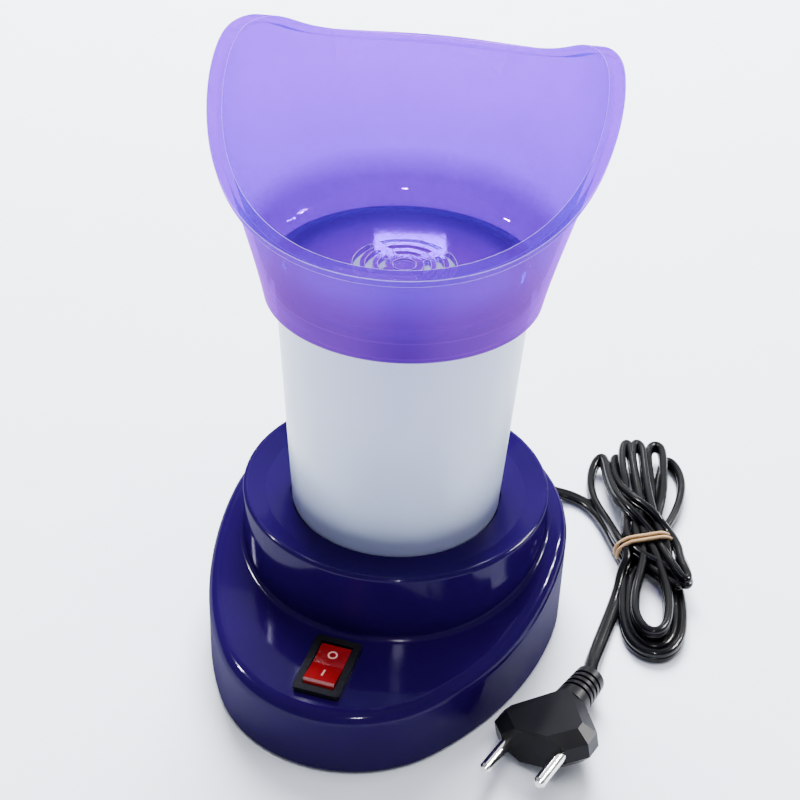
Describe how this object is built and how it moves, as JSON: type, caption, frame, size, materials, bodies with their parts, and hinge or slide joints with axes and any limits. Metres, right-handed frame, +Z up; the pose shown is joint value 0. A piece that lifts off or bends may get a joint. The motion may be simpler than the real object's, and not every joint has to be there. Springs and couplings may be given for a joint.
{
  "type": "facial steamer",
  "caption": "Table-top facial steamer: a heated base holds a milky water cup, and a clear violet face mask lifts off the cup; rocker switch, corded.",
  "frame": {"origin": "on the table, under the middle of the base without its cord", "axes": "+Z up; the front with the rocker switch faces -Y; +X is to the right seen from the front"},
  "size_m": [0.1681, 0.2036, 0.2017],
  "materials": {
    "base_plastic": "glossy deep indigo",
    "black_plastic": "satin black",
    "foot_rubber": "matt black",
    "screw_steel": "zinc plated",
    "cup_plastic": "milky, faintly translucent",
    "gasket_rubber": "matt silicone",
    "stainless": "brushed",
    "mask_plastic": "clear violet, glossy",
    "rocker_plastic": "translucent red",
    "terminal_brass": "bright",
    "natural_plastic": "satin",
    "brown_insulation": "satin",
    "blue_insulation": "satin",
    "cord_pvc": "satin black",
    "tie_wire": "tan paper-covered wire",
    "plug_plastic": "satin black",
    "pin_metal": "bright plated"
  },
  "bodies": {
    "base": {"base_housing": "base_plastic", "bottom_cover": "black_plastic", "foot_pads": "foot_rubber", "cover_screws": "screw_steel", "cup": "cup_plastic", "cup_gasket": "gasket_rubber", "heater_plate": "stainless", "ring_nut": "black_plastic", "heating_element": "stainless", "thermostat": "black_plastic", "thermostat_tabs": "terminal_brass", "thermostat_strap": "stainless", "strap_screws": "screw_steel", "switch_body": "black_plastic", "rocker_pin": "black_plastic", "switch_tabs": "terminal_brass", "push_on_connectors": "natural_plastic", "terminal_block": "natural_plastic", "live_core": "brown_insulation", "neutral_core": "blue_insulation", "live_wire": "brown_insulation", "switched_wire": "brown_insulation", "neutral_wire": "blue_insulation", "element_wire": "brown_insulation", "thermal_fuse": "natural_plastic", "cord_clamp": "black_plastic", "clamp_screws": "screw_steel", "inner_cord": "cord_pvc", "cord_relief": "cord_pvc", "cord_lead": "cord_pvc", "cord_hank": "cord_pvc", "hank_tie": "tie_wire", "plug_lead": "cord_pvc", "plug_relief": "cord_pvc", "plug_body": "plug_plastic", "plug_pins": "pin_metal"},
    "rocker": {"rocker": "rocker_plastic"},
    "mask": {"face_mask": "mask_plastic"}
  },
  "joints": [
    {"name": "rocker_tilt", "type": "hinge", "parent": "base", "child": "rocker", "pos_m": [0, -0.05496, 0.02475], "axis": [1, 0, 0], "range_deg": [0, 14]},
    {"name": "mask_lift", "type": "slide", "parent": "base", "child": "mask", "axis": [0, 0, 1], "range_m": [0, 0.06]}
  ]
}
